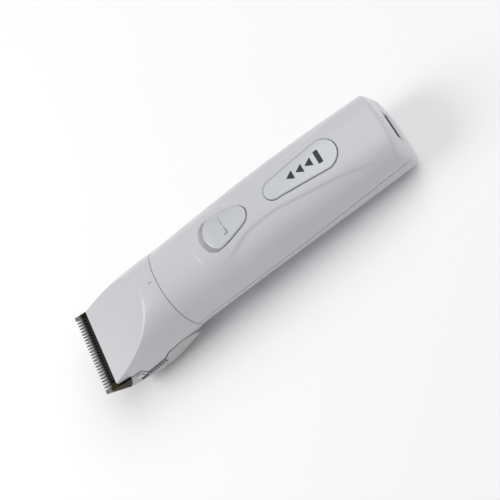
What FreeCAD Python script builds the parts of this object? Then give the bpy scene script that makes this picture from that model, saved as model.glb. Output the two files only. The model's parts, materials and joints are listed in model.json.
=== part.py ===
import FreeCAD, Part

import math
import os
import re

import Sketcher

from FreeCAD import Placement, Rotation, Vector

# Cordless hair clipper. +X runs to the blade tips, +Y to the clipper's left, +Z up.
# The origin is under the middle of the clipper, on the plane it rests on. Millimetres.

SIZES = {
    # Handle and head shells
    "wall": 1.8,
    "head_wall": 1.6,
    "seam_gap": 0.1,
    "parting_rear_height": 14.5,
    "parting_neck_height": 18.8,
    "facet_front_height": 23.2,
    "facet_slope": 0.3,
    "facet_curve": 0.0034,
    "head_front_x": 82.8,
    # Switch button, lens and their recesses
    "recess_depth": 0.9,
    "button_rise": 0.8,
    "button_sink": 0.5,
    "button_travel": 2.2,
    "lens_rise": 0.35,
    "lens_front_x": -34.5,
    "lens_front_radius": 5.0,
    "lens_rear_x": -59.7,
    "lens_rear_radius": 7.8,
    "print_thickness": 0.1,
    # Blades, in a frame with its origin at the middle of the tooth tips
    "blade_tip_x": 90.0,
    "blade_tip_height": 22.7,
    "blade_tilt": 12.1,
    "comb_width": 45.0,
    "comb_depth": 13.8,
    "comb_plate": 1.2,
    "comb_drop": 6.5,
    "comb_heel": 11.0,
    "cheek": 2.0,
    "carrier_foot": 9.6,
    "carrier_width": 33.6,
    "tooth_pitch": 1.72,
    "tooth_gap": 0.86,
    "gap_depth": 4.0,
    "gap_count": 24.0,
    "cutter_half_width": 18.4,
    "cutter_front": 4.0,
    "cutter_back": 15.0,
    "cutter_thickness": 1.1,
    "cutter_gap_depth": 1.4,
    "blade_float": 0.02,
    "fork_slot": 3.4,
    "fork_width": 8.4,
    "comb_screw_back": 12.6,
    "comb_screw_side": 8.0,
    # Motor and drive
    "motor_axis_height": 20.0,
    "motor_radius": 12.0,
    "motor_half_height": 9.2,
    "motor_back_x": 8.0,
    "motor_front_x": 34.0,
    "boss_radius": 4.0,
    "boss_length": 2.0,
    "shaft_radius": 1.0,
    "shaft_clearance": 0.05,
    "shaft_back_x": 12.0,
    "cam_back_x": 48.0,
    "cam_length": 5.0,
    "cam_radius": 4.0,
    "cam_throw": 1.2,
    "crank_radius": 1.4,
    "crank_length": 7.0,
    # Battery, board and switch
    "cell_radius": 9.1,
    "cell_length": 65.0,
    "cell_back_x": -68.0,
    "cell_axis_height": 14.4,
    "tab_thickness": 0.4,
    "tab_size": 8.0,
    "board_back_x": -68.0,
    "board_front_x": 5.0,
    "board_half_width": 9.4,
    "board_height": 24.0,
    "board_thickness": 1.4,
    "switch_back_x": -8.5,
    "switch_length": 13.1,
    "switch_half_width": 3.0,
    "switch_height": 4.5,
    "knob_back_x": -3.5,
    "knob_length": 3.0,
    "knob_half_width": 1.5,
    # Charging socket
    "socket_depth": 11.5,
    "socket_half_width": 7.8,
    "socket_half_height": 3.5,
    "slot_half_width": 6.5,
    "slot_half_height": 2.3,
    "slot_depth": 8.0,
    "slot_height": 14.4,
    # Hinge of the blade base
    "hinge_x": 40.0,
    "hinge_height": 6.0,
    "hinge_pin_radius": 1.0,
    "hinge_pin_half_length": 9.0,
    "knuckle_radius": 2.8,
    # Screws
    "screw_radius": 1.1,
    "screw_head_radius": 2.3,
    "screw_head_height": 1.6,
    "boss_screw_radius": 3.0,
}

# Cross-sections from rear to front: x, half width, top, bottom and roundness of a
# superellipse (2 is an ellipse, larger is squarer).
HANDLE_STATIONS = {
    "rear": (-86.0, 19.5, 29.4, -0.8, 2.75),
    "heel": (-58.0, 20.2, 32.9, 1.2, 2.7),
    "middle": (-27.5, 20.8, 36.1, 2.8, 2.5),
    "palm": (1.0, 20.9, 38.1, 3.3, 2.3),
    "neck": (33.7, 20.8, 39.7, 3.0, 2.17),
}
HEAD_STATIONS = {
    "neck": (33.7, 20.8, 39.7, 3.0, 2.17),
    "brow": (46.0, 21.0, 39.6, 1.0, 2.5),
    "cheekbone": (62.0, 21.2, 37.0, 0.0, 3.0),
    "front": (84.0, 21.3, 34.0, 2.0, 4.0),
}
BASE_STATIONS = {
    "base_tail": (36.0, 20.4, 30.0, 3.4, 3.0),
    "base_rear": (48.0, 21.0, 34.0, 0.8, 3.6),
    "base_middle": (62.0, 21.3, 36.0, -0.3, 4.5),
    "base_fore": (72.0, 21.4, 36.0, 1.6, 4.5),
    "base_front": (82.0, 21.5, 34.0, 5.2, 4.5),
}
STATION_WORDS = ("x", "half_width", "top", "bottom", "roundness")
SECTION_POINTS = 48
BIG = 400.0

doc = FreeCAD.newDocument("HairClipper")
sheet = doc.addObject("Spreadsheet::Sheet", "Dimensions")
nodes = []


def fill_sheet():
    """Write every driving size into the sheet, one alias to a cell."""
    cells = dict(SIZES)
    for stations in (HANDLE_STATIONS, HEAD_STATIONS, BASE_STATIONS):
        for station, values in stations.items():
            for word, value in zip(STATION_WORDS, values):
                cells["%s_%s" % (station, word)] = value
    for row, (alias, value) in enumerate(cells.items(), start=1):
        sheet.set("A%d" % row, alias)
        sheet.set("B%d" % row, str(value))
        sheet.setAlias("B%d" % row, alias)
    doc.recompute()
    return set(cells)


ALIASES = fill_sheet()


def size(alias):
    """One size from the sheet, as a number."""
    return float(sheet.get(alias))


def linked(text):
    """An expression in plain aliases, with the sheet's name put before each."""
    return re.sub(r"[a-z_]+", lambda word: "Dimensions." + word.group(0)
                  if word.group(0) in ALIASES else word.group(0), text)


def bind(item, prop, text):
    item.setExpression(prop, linked(text))


def keep(item, name):
    """Name a sub-part and put it on the list of nodes to write."""
    item.Label = name
    nodes.append(item)
    return item


def keep_shape(name, shape, placement=Placement()):
    """A sub-part whose shape is worked out in code from the sheet's sizes."""
    item = doc.addObject("Part::Feature", name)
    item.Shape = shape
    item.Placement = placement
    return keep(item, name)


# --- Helpers for PartDesign bodies -------------------------------------------------

def new_body(name):
    body = doc.addObject("PartDesign::Body", name)
    return keep(body, name)


def polygon_sketch(body, name, plane_role, corners):
    """A closed sketch whose corners are pairs of expressions in the sheet's aliases."""
    sketch = body.newObject("Sketcher::SketchObject", name)
    plane = [f for f in body.Origin.OriginFeatures if f.Role == plane_role][0]
    sketch.AttachmentSupport = [(plane, "")]
    sketch.MapMode = "FlatFace"
    count = len(corners)
    start = [Vector(10 * math.cos(2 * math.pi * i / count), 10 * math.sin(2 * math.pi * i / count), 0)
             for i in range(count)]
    for i in range(count):
        sketch.addGeometry(Part.LineSegment(start[i], start[(i + 1) % count]), False)
    for i in range(count):
        sketch.addConstraint(Sketcher.Constraint("Coincident", i, 2, (i + 1) % count, 1))
    for i, (along, across) in enumerate(corners):
        for kind, text in (("DistanceX", along), ("DistanceY", across)):
            index = sketch.addConstraint(Sketcher.Constraint(kind, -1, 1, i, 1, 1.0))
            bind(sketch, "Constraints[%d]" % index, text)
    return sketch


def rectangle(low_along, high_along, low_across, high_across):
    return [(low_along, low_across), (high_along, low_across),
            (high_along, high_across), (low_along, high_across)]


def pad(body, name, sketch, length, midplane=False, backwards=False):
    feature = body.newObject("PartDesign::Pad", name)
    feature.Profile = sketch
    feature.Midplane = midplane
    feature.Reversed = backwards
    bind(feature, "Length", length)
    body.Tip = feature
    return feature


def pocket(body, name, sketch, length=None, midplane=False, backwards=False):
    """A pocket of a given length, or right through both ways when none is given."""
    feature = body.newObject("PartDesign::Pocket", name)
    feature.Profile = sketch
    if length is None:
        feature.Midplane = True
        feature.Length = BIG
    else:
        feature.Midplane = midplane
        feature.Reversed = backwards
        bind(feature, "Length", length)
    body.Tip = feature
    doc.recompute()
    before = feature.BaseFeature.Shape.Volume
    if feature.Shape.Volume > before - 0.01:
        raise RuntimeError("%s cuts nothing" % name)
    return feature


def repeat_along_y(body, name, feature, pitch, count):
    """A row of the same feature along +Y."""
    pattern = body.newObject("PartDesign::LinearPattern", name)
    pattern.Originals = [feature]
    axis = [f for f in body.Origin.OriginFeatures if f.Role == "Y_Axis"][0]
    pattern.Direction = (axis, [""])
    pattern.Mode = "Spacing"
    bind(pattern, "Offset", pitch)
    pattern.Occurrences = count
    body.Tip = pattern
    doc.recompute()
    return pattern


# --- Helpers for the moulded shells ------------------------------------------------

def section_wire(station, grow):
    """One superellipse cross-section across X, grown outwards by a distance."""
    half_width = size(station + "_half_width") + grow
    top = size(station + "_top") + grow
    bottom = size(station + "_bottom") - grow
    power = 2.0 / size(station + "_roundness")
    middle = (top + bottom) / 2
    half_height = (top - bottom) / 2
    points = []
    for i in range(SECTION_POINTS):
        angle = 2 * math.pi * i / SECTION_POINTS
        side = math.copysign(abs(math.cos(angle)) ** power, math.cos(angle))
        rise = math.copysign(abs(math.sin(angle)) ** power, math.sin(angle))
        points.append(Vector(size(station + "_x"), half_width * side, middle + half_height * rise))
    curve = Part.BSplineCurve()
    curve.interpolate(points, PeriodicFlag=True)
    return Part.Wire([curve.toShape()])


def lofted(stations, grow=0.0):
    """The outer form through some stations, grown outwards by a distance."""
    return Part.makeLoft([section_wire(station, grow) for station in stations], True, False)


# The rounded rear end as steps of distance past the rear station and of growth.
CAP_STEPS = ((0.0, 0.0), (-2.2, -0.7), (-3.4, -2.0), (-4.0, -4.5))


def rear_cap():
    """The rounded rear end, from the rear station to the end of the clipper."""
    wires = []
    for along, grow in CAP_STEPS:
        wire = section_wire("rear", grow)
        wire.translate(Vector(along, 0, 0))
        wires.append(wire)
    return Part.makeLoft(wires, True, False)


def block(low, high):
    """A box between two corners."""
    return Part.makeBox(high[0] - low[0], high[1] - low[1], high[2] - low[2], Vector(*low))


def prism_up(points, low=20.0, high=60.0):
    """A prism along Z over a closed smooth outline in plan."""
    curve = Part.BSplineCurve()
    curve.interpolate([Vector(x, y, low) for x, y in points], PeriodicFlag=True)
    return Part.Face(Part.Wire([curve.toShape()])).extrude(Vector(0, 0, high - low))


def polygon_prism(points, half_width):
    """A prism along Y, centred, over a polygon of (x, z) points."""
    corners = [Vector(x, -half_width, z) for x, z in points]
    face = Part.Face(Part.makePolygon(corners + corners[:1]))
    return face.extrude(Vector(0, 2 * half_width, 0))


def plan_polygon(points, low=20.0, high=60.0):
    """A prism along Z over a polygon of (x, y) points."""
    corners = [Vector(x, y, low) for x, y in points]
    face = Part.Face(Part.makePolygon(corners + corners[:1]))
    return face.extrude(Vector(0, 0, high - low))


def cylinder(radius, length, base, axis):
    return Part.makeCylinder(radius, length, Vector(*base), Vector(*axis))


def mirrored_pair(shape):
    return [shape, shape.mirror(Vector(0, 0, 0), Vector(0, 1, 0))]


def handle_skin(grow):
    return lofted(HANDLE_STATIONS, grow)


def ground_cut(shape):
    """Trim a shape to what is above the resting plane."""
    return shape.common(block((-BIG, -BIG, 0), (BIG, BIG, BIG)))


def parting_height(x):
    """Height of the handle's parting line at a place along it."""
    span = size("neck_x") - size("rear_x")
    part = (x - size("rear_x")) / span
    return size("parting_rear_height") * (1 - part) + size("parting_neck_height") * part


def parting_side(above):
    """The space above or below the parting line, half a seam gap clear of it."""
    shift = size("seam_gap") / 2 if above else -size("seam_gap") / 2
    far = BIG if above else -BIG
    ends = (-100.0, 60.0)
    points = [(x, parting_height(x) + shift) for x in ends]
    points += [(ends[1], far), (ends[0], far)]
    return polygon_prism(points, BIG)


def rounded_lens_outline(grow=0.0):
    """Plan of the lens: two round ends of different size joined by tangents."""
    x_front, r_front = size("lens_front_x"), size("lens_front_radius") + grow
    x_rear, r_rear = size("lens_rear_x"), size("lens_rear_radius") + grow
    lean = math.acos((r_front - r_rear) / (x_front - x_rear))

    def on_circle(centre, radius, angle):
        return Vector(centre + radius * math.cos(angle), radius * math.sin(angle), 20)

    front = Part.Arc(on_circle(x_front, r_front, -lean), on_circle(x_front, r_front, 0),
                     on_circle(x_front, r_front, lean))
    rear = Part.Arc(on_circle(x_rear, r_rear, lean), on_circle(x_rear, r_rear, math.pi),
                    on_circle(x_rear, r_rear, -lean))
    edges = [front, Part.LineSegment(front.EndPoint, rear.StartPoint),
             rear, Part.LineSegment(rear.EndPoint, front.StartPoint)]
    wire = Part.Wire([edge.toShape() for edge in edges])
    return Part.Face(wire).extrude(Vector(0, 0, 40))


BUTTON_LEAD_HALF = ((3.7, 3.4), (2.3, 6.2))
BUTTON_WIDEST = (-0.5, 8.2)
BUTTON_TRAIL_HALF = ((-5.0, 7.7), (-10.0, 6.6), (-14.6, 5.3), (-17.3, 3.7))
BUTTON_NOSE_X = 4.4
BUTTON_TAIL_X = -18.7


def button_outline(grow=0.0, lead=0.0):
    """Plan of the switch button, a shield with its narrow end to the rear.

    A lead stretches it forwards, for the well that the button slides in.
    """
    factor = 1 + grow / BUTTON_WIDEST[1]
    left = [(x + lead, y) for x, y in BUTTON_LEAD_HALF]
    if lead > 0:
        left.append((BUTTON_WIDEST[0] + lead, BUTTON_WIDEST[1]))
    left += [BUTTON_WIDEST, *BUTTON_TRAIL_HALF]
    left = [(x, y * factor) for x, y in left]
    right = [(x, -y) for x, y in reversed(left)]
    nose = (BUTTON_NOSE_X + grow + lead, 0)
    tail = (BUTTON_TAIL_X - grow, 0)
    return prism_up([nose] + left + [tail] + right)


# --- Handle shells -----------------------------------------------------------------

SHELL_SCREWS = ((-73.0, 0.0), (1.2, 13.2), (1.2, -13.2))
SHELL_SCREW_TOP = 21.5
LAMP_PLACES = (-40.0, -47.0, -54.0, -61.0)
LAMP_HALF_LENGTH = 1.6
SOCKET_FACE_X = -89.5
FIT = 0.1
STEM_HALF_WIDTH = 1.5
STEM_PLAY = 0.5


def charge_recess():
    """The pocket in the rear end that the socket sits in."""
    half_width = size("socket_half_width") + FIT
    half_height = size("socket_half_height") + FIT
    middle = size("slot_height")
    return block((-BIG, -half_width, middle - half_height),
                 (SOCKET_FACE_X + size("socket_depth") + FIT, half_width, middle + half_height))


def handle_wall():
    """The whole handle as one hollow wall, open at the neck."""
    outer = handle_skin(0.0).fuse(rear_cap())
    inner = handle_skin(-size("wall"))
    return ground_cut(outer.cut(inner).cut(charge_recess()))


def screw_bosses(low, high, radius):
    """Upright screw bosses, kept just inside the handle's outer face."""
    posts = [cylinder(radius, high - low, (x, y, low), (0, 0, 1)) for x, y in SHELL_SCREWS]
    return Part.makeCompound(posts).common(handle_skin(-size("wall") / 2))


def make_upper_shell(wall):
    recess = handle_skin(5.0).cut(handle_skin(-size("recess_depth")))
    lens_depth = handle_skin(5.0).cut(handle_skin(-size("recess_depth") + FIT))
    shell = wall.fuse(screw_bosses(0, 60, size("boss_screw_radius"))).common(parting_side(True))
    shell = shell.cut(button_outline(0.4, size("button_travel")).common(recess))
    shell = shell.cut(rounded_lens_outline(FIT).common(lens_depth))
    stem_back = size("knob_back_x") - STEM_PLAY
    stem_front = size("knob_back_x") + size("knob_length") + size("button_travel") + STEM_PLAY
    stem_side = STEM_HALF_WIDTH + STEM_PLAY
    shell = shell.cut(block((stem_back, -stem_side, size("board_height")), (stem_front, stem_side, BIG)))
    for x, y in SHELL_SCREWS:
        hole = cylinder(size("screw_radius") + 0.05, SHELL_SCREW_TOP + 2.5, (x, y, 0), (0, 0, 1))
        shell = shell.cut(hole)
    for x in LAMP_PLACES:
        shell = shell.cut(cylinder(LAMP_HALF_LENGTH, BIG, (x, 0, size("board_height")), (0, 0, 1)))
    keep_shape("upper_shell", biggest_solid(shell))


def biggest_solid(shape):
    """The main solid of a cut shape, without loose slivers."""
    return max(shape.Solids, key=lambda solid: solid.Volume)


def make_lower_shell(wall):
    shell = wall.fuse(screw_bosses(0, 30, size("boss_screw_radius"))).common(parting_side(False))
    head_room = size("screw_head_height") + 0.6
    for x, y in SHELL_SCREWS:
        floor = screw_floor(x, y)
        shell = shell.cut(cylinder(size("screw_radius") + 0.2, 40, (x, y, -5), (0, 0, 1)))
        shell = shell.cut(cylinder(size("screw_head_radius") + 0.2, 5 + floor + head_room,
                                   (x, y, -5), (0, 0, 1)))
    keep_shape("lower_shell", biggest_solid(shell))


def screw_floor(x, y):
    """Height of the handle's underside at a screw."""
    plumb = Part.makeLine(Vector(x, y, -20), Vector(x, y, 60)).common(handle_skin(0.0))
    return max(min(vertex.Z for vertex in plumb.Vertexes), 0.0)


CROSS_SLOT = (1.5, 0.25)
CROSS_DEPTH = 0.7


def make_shell_screws():
    screws = []
    for x, y in SHELL_SCREWS:
        seat = screw_floor(x, y) + 0.6
        head = cylinder(size("screw_head_radius"), size("screw_head_height"), (x, y, seat), (0, 0, 1))
        shank = cylinder(size("screw_radius"), SHELL_SCREW_TOP - seat, (x, y, seat), (0, 0, 1))
        screw = head.fuse(shank)
        for reach_x, reach_y in (CROSS_SLOT, CROSS_SLOT[::-1]):
            low = (x - reach_x, y - reach_y, seat - 1)
            screw = screw.cut(block(low, (x + reach_x, y + reach_y, seat + CROSS_DEPTH)))
        screws.append(screw)
    keep_shape("shell_screws", Part.makeCompound(screws))


# --- Button, lens and printed marks ------------------------------------------------

RIDGE = (-6.4, -5.6, -6.0, 4.0)
RIDGE_RISE = 0.5


def make_switch_button():
    plate = button_outline().common(handle_skin(size("button_rise")).cut(handle_skin(-size("button_sink"))))
    back = size("knob_back_x") + FIT
    front = size("knob_back_x") + size("knob_length") - FIT
    knob_top = size("board_height") + size("board_thickness") + size("switch_height") + 2.0
    stem = block((back, -STEM_HALF_WIDTH, knob_top), (front, STEM_HALF_WIDTH, BIG))
    stem = stem.common(handle_skin(-size("button_sink") + FIT))
    low_x, high_x, low_y, high_y = RIDGE
    ridge = block((low_x, low_y, knob_top), (high_x, high_y, BIG))
    rise = size("button_rise")
    ridge = ridge.common(handle_skin(rise + RIDGE_RISE)).cut(handle_skin(rise - FIT))
    keep_shape("switch_button", plate.fuse([stem, ridge]))


def make_indicator_lens():
    band = handle_skin(size("lens_rise")).cut(handle_skin(-size("recess_depth") + 0.2))
    keep_shape("indicator_lens", rounded_lens_outline().common(band))


LEVEL_BAR = (-59.8, -57.5, 3.5)
LEVEL_ARROWS = ((-55.2, -51.5), (-50.4, -46.8), (-45.4, -41.7))
ARROW_HALF_WIDTH = 2.4


def make_level_marks():
    """A bar and three arrows printed on the lens."""
    rise = size("lens_rise")
    ink = handle_skin(rise + size("print_thickness")).cut(handle_skin(rise))
    back, front, half = LEVEL_BAR
    marks = [plan_polygon([(back, -half), (front, -half), (front, half), (back, half)])]
    for base, tip in LEVEL_ARROWS:
        marks.append(plan_polygon([(base, -ARROW_HALF_WIDTH), (tip, 0), (base, ARROW_HALF_WIDTH)]))
    printed = [biggest_solid(mark.common(ink)) for mark in marks]
    keep_shape("level_marks", Part.makeCompound(printed))


# --- Head ---------------------------------------------------------------------------

def facet_line(x, drop):
    """Height of the head's sloping top at a place along it, lowered square to it by a distance."""
    back = size("head_front_x") - x
    slope = size("facet_slope") + 2 * size("facet_curve") * back
    height = size("facet_front_height") + size("facet_slope") * back + size("facet_curve") * back * back
    return height - drop * math.hypot(1, slope)


def under_facet(drop):
    """The space below the head's sloping top, lowered by a distance."""
    places = [30.0 + 2.0 * i for i in range(36)]
    points = [(x, facet_line(x, drop)) for x in places]
    return polygon_prism(points + [(places[-1], -50.0), (places[0], -50.0)], BIG)


def blade_line(x, above):
    """Height of the cutting plane at a place along X, plus a distance."""
    slope = math.tan(math.radians(size("blade_tilt")))
    return size("blade_tip_height") - (size("blade_tip_x") - x) * slope + above


def in_blade_frame(shape):
    """Turn a shape drawn in the blades' own frame to its place."""
    placed = shape.copy()
    placed.Placement = blade_placement()
    return placed


def blade_placement():
    return Placement(Vector(size("blade_tip_x"), 0, size("blade_tip_height")),
                     Rotation(Vector(0, 1, 0), -size("blade_tilt")))


HEAD_LOWER_EDGE = ((36.8, 6.2), (38.9, 13.9), (45.9, 16.3), (55.1, 15.8), (59.3, 13.0), (70.0, 13.0),
                   (70.6, 18.5), (76.0, 18.9))
CUTTER_ROOM = 0.3
CUTTER_SIDE_ROOM = 1.5


def head_opening():
    """The space under the head's lower edge, seen from the side."""
    back, front = HEAD_LOWER_EDGE[0][0], 95.0
    blade_start = HEAD_LOWER_EDGE[-1][0] + FIT
    points = [(back, -20.0), *HEAD_LOWER_EDGE, (blade_start, blade_line(blade_start, CUTTER_ROOM)),
              (front, blade_line(front, CUTTER_ROOM)), (front, -20.0)]
    return polygon_prism(points, BIG)


def make_front_head():
    wall = size("head_wall")
    neck = size("neck_x") + size("seam_gap")
    front = size("head_front_x")
    outer = lofted(HEAD_STATIONS).common(under_facet(0.0))
    inner = lofted(HEAD_STATIONS, -wall).common(under_facet(wall))
    head = outer.cut(inner).common(block((neck, -BIG, -BIG), (front, BIG, BIG)))
    head = head.cut(head_opening())
    play = size("cutter_thickness") + 0.25
    side = size("cutter_half_width") + CUTTER_SIDE_ROOM
    head = head.cut(in_blade_frame(block((-20, -side, -6), (4, side, play))))
    head = head.fuse(hinge_ears()).fuse(head_posts())
    head = head.cut(index_groove())
    keep_shape("front_head", biggest_solid(head))


EAR_INNER = 7.2
EAR_OUTER = 9.2
EAR_RADIUS = 1.7
PIN_PLAY = 0.03


def hinge_ears():
    """Two ears on the head's rear wall that hold the hinge pin."""
    x, height = size("hinge_x"), size("hinge_height")
    arm = block((34.2, EAR_INNER, height - EAR_RADIUS), (x, EAR_OUTER, height + EAR_RADIUS))
    eye = cylinder(EAR_RADIUS, EAR_OUTER - EAR_INNER, (x, EAR_INNER, height), (0, 1, 0))
    bore = cylinder(size("hinge_pin_radius") + PIN_PLAY, EAR_OUTER, (x, 0, height), (0, 1, 0))
    ear = arm.fuse(eye).cut(bore)
    return Part.makeCompound(mirrored_pair(ear))


HEAD_SCREW_PLACE = (14.6, 24.0)
POST_BACK_X = 38.1
POST_LENGTH = 12.0
POST_RADIUS = 2.6
RIB_HALF_THICKNESS = 0.8


def head_posts():
    """Two posts inside the head that the motor bracket is screwed to."""
    across, height = HEAD_SCREW_PLACE
    post = cylinder(POST_RADIUS, POST_LENGTH, (POST_BACK_X, across, height), (1, 0, 0))
    rib = block((POST_BACK_X, across, height - RIB_HALF_THICKNESS),
                (POST_BACK_X + POST_LENGTH, 30, height + RIB_HALF_THICKNESS))
    inside = lofted(HEAD_STATIONS, -size("head_wall") / 2).common(under_facet(size("head_wall") / 2))
    hole = cylinder(size("screw_radius"), 9, (POST_BACK_X - FIT, across, height), (1, 0, 0))
    post = post.fuse(rib).common(inside).cut(hole)
    return Part.makeCompound(mirrored_pair(post))


INDEX_BOX = (36.1, 37.7, -1.0, -0.4)
INDEX_DEPTH = 0.15


def index_outline():
    back, front, right, left = INDEX_BOX
    return block((back, right, 36), (front, left, 42))


def index_groove():
    """The shallow well that the index mark's ink fills."""
    return index_outline().cut(lofted(HEAD_STATIONS, -INDEX_DEPTH))


def make_index_mark():
    ink = index_outline().common(lofted(HEAD_STATIONS, 0.05))
    ink = ink.cut(lofted(HEAD_STATIONS, -INDEX_DEPTH + 0.01))
    keep_shape("index_mark", ink)


# --- Blade base, slider and catches -------------------------------------------------

SLIDER_WINDOW = (59.6, 75.9, 10.0, 12.9)
SLIDER_PAD = (60.2, 71.2, 10.3, 12.6)
SLIDER_BAR = (62.0, 66.0, 10.6, 12.0)
SLIDER_FLANGE = (55.4, 75.4, 9.6, 12.4)
FLANGE_OUTER = 2.3
FLANGE_INNER = 2.9
SLIDER_RIBS = 7
RIB_GROOVE_HALF = 0.35
CATCH_BOX = (72.2, 75.4, 13.8, 17.2)
CATCH_DEPTH = 0.6


# Side view of the grey cover: a crescent under the head.
BASE_SIDE_VIEW = ((40.0, -5.0), (39.0, 3.0), (37.2, 6.0), (39.3, 13.6), (46.0, 15.9), (55.0, 15.4),
                  (59.2, 12.6), (70.4, 12.6), (70.9, 18.1), (76.6, 18.5), (80.1, 13.5), (81.2, 13.5),
                  (81.2, -5.0))
KNUCKLE_HALF_LENGTH = 6.8
FOOT = (74.5, 79.5, 12.0)


def make_blade_base():
    wall = size("head_wall")
    outer = lofted(BASE_STATIONS)
    inner_front = BASE_SIDE_VIEW[-1][0] - wall
    inner = lofted(BASE_STATIONS, -wall).common(block((30, -BIG, -BIG), (inner_front, BIG, BIG)))
    form = outer.cut(inner).common(polygon_prism(BASE_SIDE_VIEW, BIG))
    form = ground_cut(form)
    x, height = size("hinge_x"), size("hinge_height")
    half = KNUCKLE_HALF_LENGTH
    notch = block((30, half + FIT, -5), (x + EAR_RADIUS + 0.6, EAR_OUTER + 0.3, 9))
    for piece in mirrored_pair(notch):
        form = form.cut(piece)
    knuckle = cylinder(size("knuckle_radius"), 2 * half, (x, -half, height), (0, 1, 0))
    web = block((x, -half, height - size("knuckle_radius")), (x + 5.0, half, height - 0.6))
    foot_back, foot_front, foot_side = FOOT
    foot = block((foot_back, -foot_side, 2), (foot_front, foot_side, size("carrier_foot")))
    foot = foot.common(lofted(BASE_STATIONS, -wall / 2))
    form = form.fuse(knuckle).fuse(web).fuse(foot)
    form = form.cut(cylinder(size("hinge_pin_radius") + PIN_PLAY, BIG, (x, -BIG / 2, height), (0, 1, 0)))
    back, front, low, high = SLIDER_WINDOW
    window = block((back, 17, low), (front, 30, high))
    for piece in mirrored_pair(window):
        form = form.cut(piece)
    back, front, low, high = CATCH_BOX
    seat = block((back - 0.05, 15, low - 0.05), (front + 0.05, 30, high + 0.05))
    seat = seat.cut(lofted(BASE_STATIONS, -CATCH_DEPTH))
    for piece in mirrored_pair(seat):
        form = form.cut(piece)
    keep_shape("blade_base", biggest_solid(form))


def make_catches():
    """Two small white catches that lock the blade base under the head."""
    back, front, low, high = CATCH_BOX
    catch = block((back, 15, low), (front, 30, high))
    catch = catch.common(lofted(BASE_STATIONS, CATCH_DEPTH)).cut(lofted(BASE_STATIONS, -CATCH_DEPTH + 0.05))
    keep_shape("blade_catches", Part.makeCompound(mirrored_pair(catch)))


def make_length_slider():
    """A yoke with a ribbed thumb pad on each side, joined by a bar inside.

    A thin flange behind each pad keeps the window closed as the slider moves.
    """
    back, front, low, high = SLIDER_PAD
    pad_form = block((back, 15, low), (front, 30, high))
    inside = lofted(BASE_STATIONS, -FLANGE_INNER)
    pad_form = pad_form.common(lofted(BASE_STATIONS, 0.4)).cut(inside)
    pitch = (front - back) / SLIDER_RIBS
    for i in range(SLIDER_RIBS - 1):
        middle = back + (i + 1) * pitch
        groove = block((middle - RIB_GROOVE_HALF, 15, low - 1), (middle + RIB_GROOVE_HALF, 30, high + 1))
        pad_form = pad_form.cut(groove.cut(lofted(BASE_STATIONS, -0.5)))
    back, front, low, high = SLIDER_FLANGE
    flange = block((back, 15, low), (front, 30, high))
    flange = flange.common(lofted(BASE_STATIONS, -FLANGE_OUTER)).cut(inside)
    back, front, low, high = SLIDER_BAR
    bar = block((back, -19.4, low), (front, 19.4, high))
    sides = mirrored_pair(pad_form.fuse(flange))
    keep_shape("length_slider", bar.fuse(sides))


COMB_SCREW_SIDES = ("-comb_screw_side", "comb_screw_side")


def make_blade_carrier():
    """The plastic seat inside the blade base that the comb is screwed to."""
    body = new_body("blade_carrier")
    outline = polygon_sketch(body, "CarrierSide", "XZ_Plane", [
        ("blade_tip_x - 16.5", "carrier_foot"), ("blade_tip_x - 10.6", "carrier_foot"),
        ("blade_tip_x - 10.6", "carrier_foot + 4.8"), ("blade_tip_x - 9.0", "carrier_foot + 5"),
        ("blade_tip_x - 7.0", "19.2"), ("blade_tip_x - 14.8", "17.7")])
    pad(body, "Carrier", outline, "carrier_width", midplane=True)
    holes = sketch_circles(body, "CarrierHoles", "XY_Plane",
                           [("blade_tip_x - comb_screw_back", side, "screw_radius + 0.05")
                            for side in COMB_SCREW_SIDES])
    pocket(body, "ScrewHoles", holes)


def sketch_circles(body, name, plane_role, circles):
    """A sketch of several circles, each an expression for place and radius."""
    sketch = body.newObject("Sketcher::SketchObject", name)
    plane = [f for f in body.Origin.OriginFeatures if f.Role == plane_role][0]
    sketch.AttachmentSupport = [(plane, "")]
    sketch.MapMode = "FlatFace"
    for i, (along, across, radius) in enumerate(circles):
        sketch.addGeometry(Part.Circle(Vector(1 + 5 * i, 1, 0), Vector(0, 0, 1), 1.0), False)
        for kind, text in (("DistanceX", along), ("DistanceY", across)):
            index = sketch.addConstraint(Sketcher.Constraint(kind, -1, 1, i, 3, 1.0))
            bind(sketch, "Constraints[%d]" % index, text)
        index = sketch.addConstraint(Sketcher.Constraint("Radius", i, 1.0))
        bind(sketch, "Constraints[%d]" % index, radius)
    return sketch


def make_hinge_pin():
    half = size("hinge_pin_half_length")
    pin = doc.addObject("Part::Cylinder", "hinge_pin")
    bind(pin, "Radius", "hinge_pin_radius")
    bind(pin, "Height", "hinge_pin_half_length * 2")
    pin.Placement = Placement(Vector(size("hinge_x"), half, size("hinge_height")),
                              Rotation(Vector(1, 0, 0), 90))
    keep(pin, "hinge_pin")


# --- Blades ---------------------------------------------------------------------------

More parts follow.
